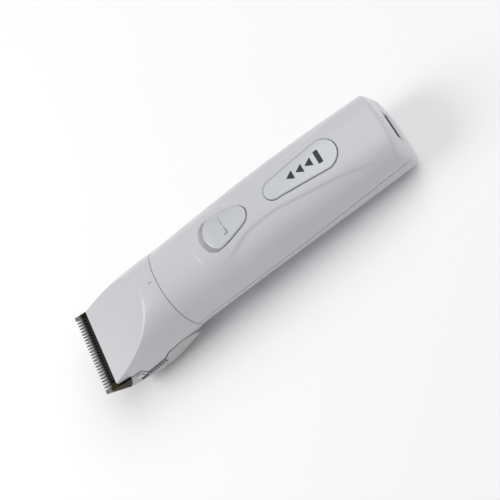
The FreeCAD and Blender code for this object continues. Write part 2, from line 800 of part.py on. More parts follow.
def make_fixed_blade():
    """Steel comb: a thin plate with a bevelled toothed edge and a cheek at each end."""
    body = new_body("fixed_blade")
    side = polygon_sketch(body, "CombSide", "XZ_Plane",
                          [("0", "0"), ("-comb_depth", "0"), ("-comb_heel", "-comb_drop")])
    pad(body, "Comb", side, "comb_width", midplane=True)
    hollow = polygon_sketch(body, "HollowSide", "XZ_Plane", rectangle(
        "-comb_depth - 5", "-gap_depth - 1.2", "-comb_drop - 5", "-comb_plate"))
    pocket(body, "Hollow", hollow, "comb_width - 2 * cheek", midplane=True)
    first = "-(gap_count - 1) * tooth_pitch / 2"
    gap = polygon_sketch(body, "GapPlan", "XY_Plane", [
        ("5", first + " - tooth_gap * 0.75"), ("0", first + " - tooth_gap * 0.75"),
        ("-1", first + " - tooth_gap / 2"), ("-gap_depth", first + " - tooth_gap / 2"),
        ("-gap_depth", first + " + tooth_gap / 2"), ("-1", first + " + tooth_gap / 2"),
        ("0", first + " + tooth_gap * 0.75"), ("5", first + " + tooth_gap * 0.75")])
    cut = pocket(body, "FirstGap", gap)
    repeat_along_y(body, "Gaps", cut, "tooth_pitch", int(size("gap_count")))
    holes = sketch_circles(body, "CombHoles", "XY_Plane",
                           [("-comb_screw_back", side, "screw_radius + 0.3") for side in COMB_SCREW_SIDES])
    pocket(body, "CombScrewHoles", holes)
    body.Placement = blade_placement()


def make_blade_screws():
    """Two screws that come up through the carrier into the comb."""
    screws = []
    x = size("blade_tip_x") - size("comb_screw_back")
    foot = size("carrier_foot")
    length = blade_line(x, -0.15) - foot
    for y in (-size("comb_screw_side"), size("comb_screw_side")):
        screws.append(cylinder(size("screw_radius"), length, (x, y, foot), (0, 0, 1)))
    keep_shape("blade_screws", Part.makeCompound(screws))


def make_moving_blade():
    """Black ceramic cutter that strokes over the comb."""
    body = new_body("moving_blade")
    plan = polygon_sketch(body, "CutterPlan", "XY_Plane", rectangle(
        "-cutter_back", "-cutter_front", "-cutter_half_width", "cutter_half_width"))
    pad(body, "Cutter", plan, "cutter_thickness")
    count = int(2 * size("cutter_half_width") / size("tooth_pitch"))
    first = "-%d * tooth_pitch / 2" % (count - 1)
    gap = polygon_sketch(body, "NotchPlan", "XY_Plane", [
        ("0", first + " - tooth_gap / 2"), ("-cutter_front - cutter_gap_depth", first + " - tooth_gap / 2"),
        ("-cutter_front - cutter_gap_depth", first + " + tooth_gap / 2"), ("0", first + " + tooth_gap / 2")])
    cut = pocket(body, "FirstNotch", gap)
    repeat_along_y(body, "Notches", cut, "tooth_pitch", count)
    place = blade_placement()
    lift = place.Rotation.multVec(Vector(0, 0, size("blade_float")))
    body.Placement = Placement(place.Base + lift, place.Rotation)


def make_drive_fork():
    """Plastic fork on the cutter that the crank pin pushes from side to side."""
    body = new_body("drive_fork")
    side = polygon_sketch(body, "ForkSide", "XZ_Plane", [
        ("-12", "cutter_thickness"), ("-12", "2.3"), ("-15.5", "3.4"), ("-16.5", "4.9"), ("-28", "4.9"),
        ("-28", "7.5"), ("-33", "7.5"), ("-33", "2.4"), ("-16.5", "2.4"), ("-15", "cutter_thickness")])
    pad(body, "Fork", side, "fork_width", midplane=True)
    slot = polygon_sketch(body, "SlotPlan", "XY_Plane", rectangle(
        "-40", "-26.5", "-fork_slot / 2", "fork_slot / 2"))
    pocket(body, "Slot", slot)
    place = blade_placement()
    lift = place.Rotation.multVec(Vector(0, 0, size("blade_float")))
    body.Placement = Placement(place.Base + lift, place.Rotation)


def make_cutter_carriage():
    """Bar under the fork that shifts the cutter fore and aft to set the cut length."""
    body = new_body("cutter_carriage")
    plan = polygon_sketch(body, "CarriagePlan", "XY_Plane", rectangle("-20.2", "-17", "-15", "15"))
    pad(body, "Carriage", plan, "2.4", midplane=True)
    body.Placement = blade_placement()


def make_tension_springs():
    """Two leaf springs that reach from the carriage over the cutter."""
    leaf = Part.Face(Part.makePolygon([Vector(x, -1.5, z) for x, z in (
        (-19.8, 1.22), (-17.2, 1.22), (-14.2, 1.22), (-13.0, 1.16), (-13.0, 1.4), (-14.2, 1.46),
        (-17.2, 1.5), (-19.8, 1.5), (-19.8, 1.22))])).extrude(Vector(0, 3, 0))
    leaf.translate(Vector(0, 10, 0))
    keep_shape("tension_springs", Part.makeCompound(mirrored_pair(leaf)), blade_placement())


# --- Motor and crank -----------------------------------------------------------------

def make_motor_can():
    """Motor can with flattened sides, a front boss and a bore for the shaft."""
    can = cylinder(size("motor_radius"), size("motor_front_x") - size("motor_back_x"),
                   (size("motor_back_x"), 0, size("motor_axis_height")), (1, 0, 0))
    boss = cylinder(size("boss_radius"), size("boss_length"),
                    (size("motor_front_x"), 0, size("motor_axis_height")), (1, 0, 0))
    bore = cylinder(size("shaft_radius") + size("shaft_clearance"), BIG,
                    (size("shaft_back_x") - 0.5, 0, size("motor_axis_height")), (1, 0, 0))
    half = size("motor_half_height")
    axis = size("motor_axis_height")
    flats = block((-BIG, -BIG, axis - half), (BIG, BIG, axis + half))
    keep_shape("motor_can", can.common(flats).fuse(boss).cut(bore))


def make_motor_end_cap():
    cap = doc.addObject("Part::Cylinder", "motor_end_cap")
    bind(cap, "Radius", "motor_radius - 3.2")
    cap.Height = 1.8
    cap.Placement = Placement(Vector(size("motor_back_x") - 1.9, 0, size("motor_axis_height")),
                              Rotation(Vector(0, 1, 0), 90))
    keep(cap, "motor_end_cap")


def make_motor_bracket():
    """Plate across the neck that clamps the motor's boss and is screwed to the head."""
    across, height = HEAD_SCREW_PLACE
    axis = size("motor_axis_height")
    plate = block((36.2, -17.0, axis - 8), (37.9, 17.0, axis + 8))
    plate = plate.cut(cylinder(3.2, 6, (34, 0, axis), (1, 0, 0)))
    for y in (-across, across):
        plate = plate.cut(cylinder(size("screw_radius") + 0.1, 6, (34, y, height), (1, 0, 0)))
    keep_shape("motor_bracket", plate)


def make_head_screws():
    """Two screws from the bracket's rear face into the head's posts."""
    across, height = HEAD_SCREW_PLACE
    screws = []
    for y in (-across, across):
        head = cylinder(2.0, 1.3, (34.8, y, height), (1, 0, 0))
        shank = cylinder(size("screw_radius") - 0.05, 10, (34.8, y, height), (1, 0, 0))
        screws.append(head.fuse(shank))
    keep_shape("head_screws", Part.makeCompound(screws))


def make_motor_cradle():
    """Saddle under the motor, standing on the inside of the lower shell."""
    axis = size("motor_axis_height")
    saddle = block((14, -13.5, 2), (28, 13.5, axis - 4))
    can = block((-BIG, -BIG, axis - size("motor_half_height") - FIT), (BIG, BIG, BIG))
    can = can.common(cylinder(size("motor_radius") + FIT, 60, (0, 0, axis), (1, 0, 0)))
    saddle = saddle.common(handle_skin(-size("wall") - 0.05)).cut(can)
    keep_shape("motor_cradle", saddle)


def make_motor_shaft():
    shaft = doc.addObject("Part::Cylinder", "motor_shaft")
    bind(shaft, "Radius", "shaft_radius")
    bind(shaft, "Height", "cam_back_x + cam_length - shaft_back_x")
    shaft.Placement = Placement(Vector(size("shaft_back_x"), 0, size("motor_axis_height")),
                                Rotation(Vector(0, 1, 0), 90))
    keep(shaft, "motor_shaft")


def make_eccentric_cam():
    """Disc on the shaft's end with a crank pin set off its axis."""
    body = new_body("eccentric_cam")
    disc = sketch_circles(body, "DiscCircle", "YZ_Plane", [("0", "0", "cam_radius")])
    pad(body, "Disc", disc, "cam_length")
    bore = sketch_circles(body, "BoreCircle", "YZ_Plane", [("0", "0", "shaft_radius")])
    pocket(body, "Bore", bore)
    crank = sketch_circles(body, "CrankCircle", "YZ_Plane", [("0", "cam_throw", "crank_radius")])
    crank.AttachmentOffset = Placement(Vector(0, 0, size("cam_length")), Rotation())
    pad(body, "CrankPin", crank, "crank_length")
    body.Placement = Placement(Vector(size("cam_back_x"), 0, size("motor_axis_height")), Rotation())


# --- Battery, board, switch and charging socket --------------------------------------

def make_battery_cell():
    cell = doc.addObject("Part::Cylinder", "battery_cell")
    bind(cell, "Radius", "cell_radius")
    bind(cell, "Height", "cell_length")
    cell.Placement = Placement(Vector(size("cell_back_x"), 0, size("cell_axis_height")),
                               Rotation(Vector(0, 1, 0), 90))
    keep(cell, "battery_cell")


def make_battery_tabs():
    """Welded strips on both ends of the cell."""
    half = size("tab_size") / 2
    thick = size("tab_thickness")
    middle = size("cell_axis_height")
    rear = size("cell_back_x")
    front = rear + size("cell_length")
    tabs = [block((rear - thick, -half, middle - half), (rear, half, middle + half)),
            block((front, -half, middle - half), (front + thick, half, middle + half))]
    keep_shape("battery_tabs", Part.makeCompound(tabs))


def make_circuit_board():
    body = new_body("circuit_board")
    plan = polygon_sketch(body, "BoardPlan", "XY_Plane", rectangle(
        "board_back_x", "board_front_x", "-board_half_width", "board_half_width"))
    pad(body, "Board", plan, "board_thickness")
    body.Placement = Placement(Vector(0, 0, size("board_height")), Rotation())


def make_status_lamps():
    """A row of small lamps on the board, one under each printed mark."""
    base = size("board_height") + size("board_thickness")
    half = LAMP_HALF_LENGTH
    lamps = [block((x - half, -1.0, base), (x + half, 1.0, base + 1.2)) for x in LAMP_PLACES]
    keep_shape("status_lamps", Part.makeCompound(lamps))


def make_slide_switch():
    """Switch housing on the board, open on top for its knob."""
    body = new_body("slide_switch")
    plan = polygon_sketch(body, "SwitchPlan", "XY_Plane", rectangle(
        "switch_back_x", "switch_back_x + switch_length", "-switch_half_width", "switch_half_width"))
    pad(body, "Housing", plan, "switch_height")
    well = polygon_sketch(body, "WellPlan", "XY_Plane", rectangle(
        "knob_back_x - 0.4", "knob_back_x + knob_length + button_travel + 0.4",
        "-knob_half_width - 0.2", "knob_half_width + 0.2"))
    well.AttachmentOffset = Placement(Vector(0, 0, 1.0), Rotation())
    pocket(body, "Well", well, "switch_height", backwards=True)
    body.Placement = Placement(Vector(0, 0, size("board_height") + size("board_thickness")), Rotation())


def make_switch_knob():
    knob = doc.addObject("Part::Box", "switch_knob")
    bind(knob, "Length", "knob_length")
    bind(knob, "Width", "knob_half_width * 2")
    bind(knob, "Height", "switch_height + 0.4")
    knob.Placement = Placement(Vector(size("knob_back_x"), -size("knob_half_width"),
                                      size("board_height") + size("board_thickness") + 1.4), Rotation())
    keep(knob, "switch_knob")


def make_charge_socket():
    """Black insert in the rear end with the slot for the charging plug."""
    body = new_body("charge_socket")
    face = polygon_sketch(body, "SocketFace", "YZ_Plane", rectangle(
        "-socket_half_width", "socket_half_width", "-socket_half_height", "socket_half_height"))
    pad(body, "Insert", face, "socket_depth")
    slot = polygon_sketch(body, "SlotFace", "YZ_Plane", rectangle(
        "-slot_half_width", "slot_half_width", "-slot_half_height", "slot_half_height"))
    pocket(body, "Slot", slot, "slot_depth", backwards=True)
    body.Placement = Placement(Vector(SOCKET_FACE_X, 0, size("slot_height")), Rotation())


CHARGE_PIN = (0.7, 2.6, 3.0)


def make_charge_pins():
    """Two contact pins standing up from the bottom of the slot."""
    radius, length, side = CHARGE_PIN
    start = SOCKET_FACE_X + size("slot_depth") - length
    pins = [cylinder(radius, length, (start, y, size("slot_height")), (1, 0, 0)) for y in (-side, side)]
    keep_shape("charge_pins", Part.makeCompound(pins))


# --- Build and write -------------------------------------------------------------------

def build_all():
    wall = handle_wall()
    make_upper_shell(wall)
    make_lower_shell(wall)
    make_shell_screws()
    make_switch_button()
    make_switch_knob()
    make_indicator_lens()
    make_level_marks()
    make_front_head()
    make_index_mark()
    make_blade_base()
    make_catches()
    make_length_slider()
    make_blade_carrier()
    make_hinge_pin()
    make_fixed_blade()
    make_blade_screws()
    make_moving_blade()
    make_drive_fork()
    make_cutter_carriage()
    make_tension_springs()
    make_motor_can()
    make_motor_end_cap()
    make_motor_bracket()
    make_head_screws()
    make_motor_cradle()
    make_motor_shaft()
    make_eccentric_cam()
    make_battery_cell()
    make_battery_tabs()
    make_circuit_board()
    make_status_lamps()
    make_slide_switch()
    make_charge_socket()
    make_charge_pins()
    doc.recompute()


def check_document():
    """Stop if any object failed, or any sub-part has no sound shape."""
    for item in doc.Objects:
        if "Invalid" in item.State or "Error" in item.State:
            raise RuntimeError("%s failed: %s" % (item.Name, item.State))
    for item in nodes:
        if item.Shape.isNull() or not item.Shape.isValid() or not item.Shape.Solids:
            raise RuntimeError("%s has no valid solid" % item.Label)


def write_parts():
    os.makedirs("parts", exist_ok=True)
    for item in nodes:
        item.Shape.exportStep("parts/%s.step" % item.Label)


build_all()
check_document()
for item in nodes:
    print("%-16s solids %2d  volume %9.1f" % (item.Label, len(item.Shape.Solids), item.Shape.Volume))
write_parts()
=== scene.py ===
import json
import math

import bmesh
import bpy
import numpy as np
from mathutils import Matrix, Vector


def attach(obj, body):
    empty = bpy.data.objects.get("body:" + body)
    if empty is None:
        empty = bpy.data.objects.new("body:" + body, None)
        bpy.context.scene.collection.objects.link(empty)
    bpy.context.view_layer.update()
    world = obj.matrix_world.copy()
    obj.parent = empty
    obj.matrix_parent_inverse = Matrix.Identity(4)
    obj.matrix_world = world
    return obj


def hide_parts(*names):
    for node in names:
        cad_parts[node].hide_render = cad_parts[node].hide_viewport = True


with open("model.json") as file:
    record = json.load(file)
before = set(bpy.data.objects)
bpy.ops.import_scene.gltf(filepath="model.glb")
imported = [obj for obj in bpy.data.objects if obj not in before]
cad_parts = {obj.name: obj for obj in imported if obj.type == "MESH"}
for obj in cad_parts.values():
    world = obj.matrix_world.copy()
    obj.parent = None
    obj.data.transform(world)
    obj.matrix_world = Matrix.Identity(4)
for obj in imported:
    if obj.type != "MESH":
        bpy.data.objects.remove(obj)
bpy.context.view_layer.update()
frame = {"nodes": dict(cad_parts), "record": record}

# Cordless hair clipper. Lengths below are millimetres in the frame's axes, and are turned
# to metres where a mesh is made: +X to the blade tips, +Y to the clipper's left, +Z up.
MM = 0.001

# Cross-sections of the moulded forms, as the frame has them: x, half width, top, bottom
# and roundness of a superellipse.
HANDLE = np.array([(-86.0, 19.5, 29.4, -0.8, 2.75), (-58.0, 20.2, 32.9, 1.2, 2.7),
                   (-27.5, 20.8, 36.1, 2.8, 2.5), (1.0, 20.9, 38.1, 3.3, 2.3),
                   (33.7, 20.8, 39.7, 3.0, 2.17)])
HEAD = np.array([(33.7, 20.8, 39.7, 3.0, 2.17), (46.0, 21.0, 39.6, 1.0, 2.5),
                 (62.0, 21.2, 37.0, 0.0, 3.0), (84.0, 21.3, 34.0, 2.0, 4.0)])
REAR_X, NECK_X = -86.0, 33.68
CAP_LENGTH, CAP_SHRINK = 4.0, 4.2
PARTING_REAR, PARTING_NECK, PARTING_NECK_X = 14.5, 18.8, 33.7
PARTING_HALF_GAP = 0.05
RING_SAMPLES = 700
HEAD_BACK_X, HEAD_FRONT_X = 33.86, 82.8
FACET_FRONT_Z, FACET_SLOPE, FACET_CURVE = 23.2, 0.3, 0.0034


# --- Forms -----------------------------------------------------------------------------

def section(stations, x):
    """Half width, middle height, half height and roundness at x, smooth between stations."""
    degree = len(stations) - 1
    width, top, bottom, roundness = [np.polyval(np.polyfit(stations[:, 0], stations[:, i], degree), x)
                                     for i in (1, 2, 3, 4)]
    return width, (top + bottom) / 2, (top - bottom) / 2, roundness


def ring(stations, x, angle, grow=0.0):
    """Points (x, y, z) on a form at an angle round it, grown outwards."""
    width, middle, half, roundness = section(stations, x)
    power = 2.0 / roundness
    across = np.sign(np.cos(angle)) * np.abs(np.cos(angle)) ** power
    rise = np.sign(np.sin(angle)) * np.abs(np.sin(angle)) ** power
    return np.stack([x + 0 * across, (width + grow) * across, middle + (half + grow) * rise], axis=-1)


def top_height(stations, x, y):
    """Height of a form's upper side over (x, y)."""
    width, middle, half, roundness = section(stations, x)
    inside = np.clip(1 - (np.abs(y) / width) ** roundness, 0, 1)
    return middle + half * inside ** (1 / roundness)


def angle_at_height(stations, x, z, grow=0.0):
    """The angle on the +Y side at which a form has a given height."""
    _, middle, half, roundness = section(stations, x)
    rise = np.clip((z - middle) / (half + grow), -1, 1)
    return np.arcsin(np.sign(rise) * np.abs(rise) ** (roundness / 2))


def parting_height(x):
    part = (x - REAR_X) / (PARTING_NECK_X - REAR_X)
    return PARTING_REAR * (1 - part) + PARTING_NECK * part


def smooth(value):
    """Smooth step from 0 to 1."""
    value = np.clip(value, 0, 1)
    return value * value * (3 - 2 * value)


def rounded(distance, radius):
    """How far a rounded edge falls back, at a distance from its end."""
    inner = np.clip(radius - distance, 0, radius)
    return radius - np.sqrt(np.maximum(radius * radius - inner * inner, 0))


def even_rows(points, count):
    """Re-space a row of points evenly along its length."""
    steps = np.linalg.norm(np.diff(points, axis=0), axis=1)
    reach = np.concatenate([[0], np.cumsum(steps)])
    wanted = np.linspace(0, reach[-1], count)
    return np.stack([np.interp(wanted, reach, points[:, i]) for i in range(points.shape[1])], axis=1)


def closed_curve(points, count=480):
    """A smooth closed curve through a few points (periodic Catmull-Rom)."""
    points = np.array(points, float)
    total = len(points)
    out = []
    per = count // total
    for i in range(total):
        a, b, c, d = [points[(i + k) % total] for k in (-1, 0, 1, 2)]
        for step in np.arange(per) / per:
            out.append(0.5 * (2 * b + (c - a) * step + (2 * a - 5 * b + 4 * c - d) * step ** 2
                              + (3 * b - a - 3 * c + d) * step ** 3))
    return np.array(out)


def signed_distance(outline, x, y):
    """Distance inside (+) or outside (-) a closed outline, and the nearest outline points."""
    flat = np.stack([np.ravel(x), np.ravel(y)], axis=1)
    after = np.roll(outline, -1, axis=0)
    edge = after - outline
    best = np.full(len(flat), 1e9)
    nearest = np.zeros_like(flat)
    inside = np.zeros(len(flat), bool)
    for start, end, along in zip(outline, after, edge):
        part = np.clip(((flat - start) @ along) / max(along @ along, 1e-12), 0, 1)
        foot = start + part[:, None] * along
        gap = np.hypot(*(flat - foot).T)
        closer = gap < best
        best[closer] = gap[closer]
        nearest[closer] = foot[closer]
        crosses = (start[1] > flat[:, 1]) != (end[1] > flat[:, 1])
        if crosses.any():
            reach = start[0] + (flat[:, 1] - start[1]) / (end[1] - start[1] + 1e-30) * along[0]
            inside ^= crosses & (flat[:, 0] < reach)
    return np.where(inside, best, -best).reshape(np.shape(x)), nearest.reshape(np.shape(x) + (2,))


# --- Outlines in plan --------------------------------------------------------------------

BUTTON_LEAD_HALF = ((3.7, 3.4), (2.3, 6.2))
BUTTON_WIDEST = (-0.5, 8.2)
BUTTON_TRAIL_HALF = ((-5.0, 7.7), (-10.0, 6.6), (-14.6, 5.3), (-17.3, 3.7))
BUTTON_NOSE_X, BUTTON_TAIL_X = 4.4, -18.7
BUTTON_TRAVEL = 2.2


def button_outline(grow=0.0, lead=0.0):
    """The shield-shaped button; a lead stretches its wide end forward for its travel."""
    factor = 1 + grow / BUTTON_WIDEST[1]
    left = [(x + lead + grow, y) for x, y in BUTTON_LEAD_HALF]
    if lead > 0:
        left.append((BUTTON_WIDEST[0] + lead, BUTTON_WIDEST[1]))
    left += [BUTTON_WIDEST, *BUTTON_TRAIL_HALF]
    left = [(x, y * factor) for x, y in left]
    right = [(x, -y) for x, y in reversed(left)]
    nose = (BUTTON_NOSE_X + grow + lead, 0)
    tail = (BUTTON_TAIL_X - grow, 0)
    return closed_curve([nose] + left + [tail] + right)


LENS_FRONT, LENS_REAR = (-34.5, 5.0), (-59.7, 7.8)


def lens_outline(grow=0.0):
    """Two round ends of different size joined by tangents."""
    (x_front, r_front), (x_rear, r_rear) = LENS_FRONT, LENS_REAR
    lean = math.acos((r_front - r_rear) / (x_front - x_rear))
    front = np.linspace(-lean, lean, 60)
    rear = np.linspace(lean, 2 * math.pi - lean, 90)
    sides = [np.stack([x_front + (r_front + grow) * np.cos(front), (r_front + grow) * np.sin(front)], 1),
             np.stack([x_rear + (r_rear + grow) * np.cos(rear), (r_rear + grow) * np.sin(rear)], 1)]
    corners = np.concatenate(sides)
    return even_rows(np.concatenate([corners, corners[:1]]), 300)[:-1]


def deck_outline():
    """Keyhole-shaped crease round the button and the lens."""
    half = ((11.0, 5.0), (9.7, 9.6), (7.4, 12.6), (3.4, 13.7), (-3.0, 12.4), (-10.1, 9.9),
            (-15.0, 8.7), (-20.5, 8.2), (-28.0, 8.0), (-35.0, 8.7), (-42.5, 9.9), (-52.3, 11.2),
            (-63.0, 12.8), (-72.0, 14.6), (-79.0, 15.7), (-83.2, 13.0), (-84.3, 7.0))
    right = [(x, -y) for x, y in reversed(half)]
    return closed_curve([(11.4, 0.0)] + list(half) + [(-84.5, 0.0)] + right)


def circle_outline(x, y, radius):
    turn = np.linspace(0, 2 * math.pi, 72, endpoint=False)
    return np.stack([x + radius * np.cos(turn), y + radius * np.sin(turn)], axis=1)


# --- Mesh making -------------------------------------------------------------------------

def make_piece(name, points, faces, material, body, stands_for=()):
    """A smooth-shaded mesh from points in millimetres, riding on a body."""
    mesh = bpy.data.meshes.new(name)
    mesh.from_pydata([tuple(p) for p in np.asarray(points, float) * MM], [], faces)
    piece = bpy.data.objects.new(name, mesh)
    bpy.context.scene.collection.objects.link(piece)
    work = bmesh.new()
    work.from_mesh(mesh)
    bmesh.ops.remove_doubles(work, verts=work.verts, dist=0.004 * MM)
    bmesh.ops.dissolve_degenerate(work, edges=work.edges, dist=0.001 * MM)
    for face in work.faces:
        face.smooth = True
    work.to_mesh(mesh)
    work.free()
    mesh.materials.append(material)
    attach(piece, body)
    if stands_for:
        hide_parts(*stands_for)
    return piece


def grid_faces(rows, columns, closed=False, flip=False):
    """Quads over a grid of points stored row by row."""
    faces = []
    for i in range(rows - 1):
        for j in range(columns if closed else columns - 1):
            after = (j + 1) % columns
            quad = (i * columns + j, i * columns + after, (i + 1) * columns + after, (i + 1) * columns + j)
            faces.append(quad[::-1] if flip else quad)
    return faces


def thicken(piece, thickness):
    """Give a moulded skin its wall, inwards."""
    wall = piece.modifiers.new("wall", "SOLIDIFY")
    wall.thickness = thickness * MM
    wall.offset = -1
    wall.use_even_offset = False
    return piece


# --- Handle shells -----------------------------------------------------------------------

GRID_STEP = 0.42
SEAM_ROUND = 0.22
SHELL_GIRTH = 66
END_STEPS = np.array([0, 0.08, 0.18, 0.3])
SHELL_SKIN, HEAD_SKIN = 0.8, 0.55
SNAP_REACH = 0.2
SCREWS = ((-73.0, 0.0), (1.2, 13.2), (1.2, -13.2))
SOCKET_HALF_WIDTH, SOCKET_HALF_HEIGHT, SOCKET_Z, SOCKET_LIP = 7.9, 3.6, 14.4, 1.0
SCOOP_SIDE, SCOOP_FRONT, SCOOP_REAR, SCOOP_REACH = 0.62, 0.2, 0.2, 9.0
SCOOP_FAR_LOSS = 0.35
BUTTON_WELL, LENS_WELL = 1.7, 1.7


def handle_row(x_section, x_place, grow, upper, columns):
    """One row of points across a shell, from parting line to parting line."""
    edge = parting_height(x_section) + (PARTING_HALF_GAP if upper else -PARTING_HALF_GAP)
    start = float(angle_at_height(HANDLE, x_section, edge, grow))
    angles = (np.linspace(start, math.pi - start, RING_SAMPLES) if upper
              else np.linspace(math.pi - start, 2 * math.pi + start, RING_SAMPLES))
    row = ring(HANDLE, np.full(angles.shape, x_section), angles, grow)
    row[:, 0] = x_place
    return even_rows(row, columns)


CAP_FIRST_TURN, CAP_ROWS = 0.12, 14
CORNER_PULL, CORNER_HALF_WIDTH, CORNER_LOW_Z, CORNER_RISE = 3.0, 19, 11, 12
END_FACE_SHARES = (0.1, 0.3, 0.55, 0.8, 0.97, 1.0)


def cap_rows(upper, columns):
    """Rows round the rear end and over its end face to the socket's hole."""
    rows = []
    for turn in np.linspace(CAP_FIRST_TURN, 1, CAP_ROWS) * math.pi / 2:
        back = CAP_LENGTH * math.sin(turn) ** 0.9
        row = handle_row(REAR_X, REAR_X - back, -CAP_SHRINK * (1 - math.cos(turn)) ** 1.25,
                         upper, columns)
        high = np.clip((row[:, 2] - CORNER_LOW_Z) / CORNER_RISE, 0, 1)
        corner = (np.abs(row[:, 1]) / CORNER_HALF_WIDTH) ** 3
        row[:, 0] += CORNER_PULL * corner * high * back / CAP_LENGTH
        rows.append(row)
    edge = rows[-1]
    across, rise = edge[:, 1], edge[:, 2] - SOCKET_Z
    scale = 1 / np.maximum(np.abs(across) / SOCKET_HALF_WIDTH, np.abs(rise) / SOCKET_HALF_HEIGHT)
    for part in END_FACE_SHARES:
        shrink = 1 - part + part * scale
        row = edge.copy()
        row[:, 1] = across * shrink
        row[:, 2] = SOCKET_Z + rise * shrink
        row[:, 0] = REAR_X - CAP_LENGTH + (edge[:, 0] - REAR_X + CAP_LENGTH) * (1 - part)
        rows.append(row)
    inner = rows[-1].copy()
    inner[:, 0] = REAR_X + SOCKET_LIP
    rows.append(inner)
    return rows


def snap_to(outline, rows, reach):
    """Move the points that lie near an outline exactly onto it, in plan."""
    gap, nearest = signed_distance(outline, rows[..., 0], rows[..., 1])
    near = np.abs(gap) < reach
    rows[..., 0] = np.where(near, nearest[..., 0], rows[..., 0])
    rows[..., 1] = np.where(near, nearest[..., 1], rows[..., 1])
    return np.where(near, 0.0, gap)


def well(gap, depth, wall=0.28, lip=0.22):
    """A recess inside an outline, with a rounded lip."""
    return -depth * smooth(gap / wall) - np.where(gap <= 0, rounded(-gap, lip) * 0.8, lip * 0.8)


def round_seams(rows, x):
    """Pull the parting edges and the neck edge in a little, as a moulded seam."""
    reach = np.linalg.norm(np.diff(rows, axis=1), axis=2)
    left = np.concatenate([np.zeros((len(rows), 1)), np.cumsum(reach, axis=1)], axis=1)
    right = left[:, -1:] - left
    pull = rounded(np.minimum(left, right), SEAM_ROUND) + rounded(NECK_X - x, SEAM_ROUND)
    middle = section(HANDLE, x)[1]
    radius = np.hypot(rows[..., 1], rows[..., 2] - middle)
    factor = 1 - pull / radius
    rows[..., 1] *= factor
    rows[..., 2] = middle + (rows[..., 2] - middle) * factor
    return rows


def body_rows(upper):
    columns = int(SHELL_GIRTH / GRID_STEP)
    places = np.concatenate([NECK_X - END_STEPS, np.arange(NECK_X - 0.6, REAR_X, -GRID_STEP), [REAR_X]])
    rows = np.array([handle_row(x, x, 0.0, upper, columns) for x in places])
    return rows, columns


TOP_SHARE = 0.93
BUTTON_GAP, LENS_GAP = 0.4, 0.4
SCREW_WELL_RADIUS, SCREW_WELL_DEPTH = 2.55, 1.9


def make_upper_shell(material):
    rows, columns = body_rows(True)
    width = section(HANDLE, rows[..., 0])[0]
    top = np.abs(rows[..., 1]) < TOP_SHARE * width
    deck = snap_to(deck_outline(), rows, 0.14)
    button = snap_to(button_outline(BUTTON_GAP, BUTTON_TRAVEL), rows, SNAP_REACH)
    lens = snap_to(lens_outline(LENS_GAP), rows, SNAP_REACH)
    x, y = rows[..., 0], rows[..., 1]
    outside = np.maximum(-deck, 0)
    depth = SCOOP_FRONT + (SCOOP_SIDE - SCOOP_FRONT) * smooth((2 - x) / 10)
    depth -= (SCOOP_SIDE - SCOOP_REAR) * smooth((-66 - x) / 14)
    depth *= 1 - SCOOP_FAR_LOSS * smooth((-y - 2) / 5)
    scoop = smooth(outside / 1.1) * (1 - smooth((outside - 1.1) / SCOOP_REACH))
    side_fade = smooth((TOP_SHARE * width - np.abs(y)) / 2.5)
    rear_fade = smooth((x - REAR_X) / 3.0)
    lift = -depth * scoop * side_fade * rear_fade
    lift += well(button, BUTTON_WELL) + well(lens, LENS_WELL)
    flat = top_height(HANDLE, x, y)
    rows[..., 2] = np.where(top, flat + lift, rows[..., 2])
    rows = round_seams(rows, x)
    rows = np.concatenate([rows, np.array(cap_rows(True, columns))])
    piece = make_piece("upper_shell_skin", rows.reshape(-1, 3), grid_faces(len(rows), columns, flip=True),
                       material, "handle", ("upper_shell",))
    return thicken(piece, SHELL_SKIN)


def make_lower_shell(material):
    rows, columns = body_rows(False)
    lift = np.zeros(rows.shape[:2])
    for x, y in SCREWS:
        under = rows[..., 2] < 9
        gap = snap_to(circle_outline(x, y, SCREW_WELL_RADIUS), rows, SNAP_REACH)
        lift += np.where(under, SCREW_WELL_DEPTH * smooth(gap / 0.25), 0)
    x = rows[..., 0]
    rows = round_seams(rows, x)
    rows[..., 2] = np.maximum(rows[..., 2], 0) + lift
    tail = np.array(cap_rows(False, columns))
    tail[..., 2] = np.maximum(tail[..., 2], 0)
    rows = np.concatenate([rows, tail])
    piece = make_piece("lower_shell_skin", rows.reshape(-1, 3), grid_faces(len(rows), columns, flip=True),
                       material, "handle", ("lower_shell",))
    return thicken(piece, SHELL_SKIN)


# --- Button, lens and printed marks ------------------------------------------------------

def plate(name, outline, centre, rise, drop, edge, material, body, stands_for=(), relief=None):
    """A crowned plate over an outline on the handle, with a rounded edge and a skirt."""
    shares = np.concatenate([np.linspace(0.03, 0.88, 30), [0.91, 0.935, 0.955, 0.97, 0.982, 0.992, 1.0]])
    centre = np.array(centre, float)
    rings = np.array([centre + (outline - centre) * share for share in shares])
    x, y = rings[..., 0], rings[..., 1]
    gap, _ = signed_distance(outline, x, y)
    gap[-1] = 0
    height = top_height(HANDLE, x, y) + rise - rounded(gap, edge)
    if relief is not None:
        height = height + relief(x, y) * smooth((gap - 0.2) / 0.8)
    points = np.stack([x, y, height], axis=-1)
    skirt = points[-1].copy()
    skirt[:, 2] = top_height(HANDLE, skirt[:, 0], skirt[:, 1]) - drop
    points = np.concatenate([points, skirt[None]])
    count = len(outline)
    flat = points.reshape(-1, 3)
    middle = np.append(centre, float(top_height(HANDLE, centre[0], centre[1])) + rise)
    if relief is not None:
        middle[2] += float(relief(centre[0], centre[1]))
    faces = grid_faces(len(points), count, closed=True)
    faces += [(len(flat), (j + 1) % count, j) for j in range(count)]
    under = tuple(range((len(points) - 1) * count, len(points) * count))
    faces.append(under)
    piece = make_piece(name, np.vstack([flat, middle]), faces, material, body, stands_for)
    face_outward(piece)
    return piece


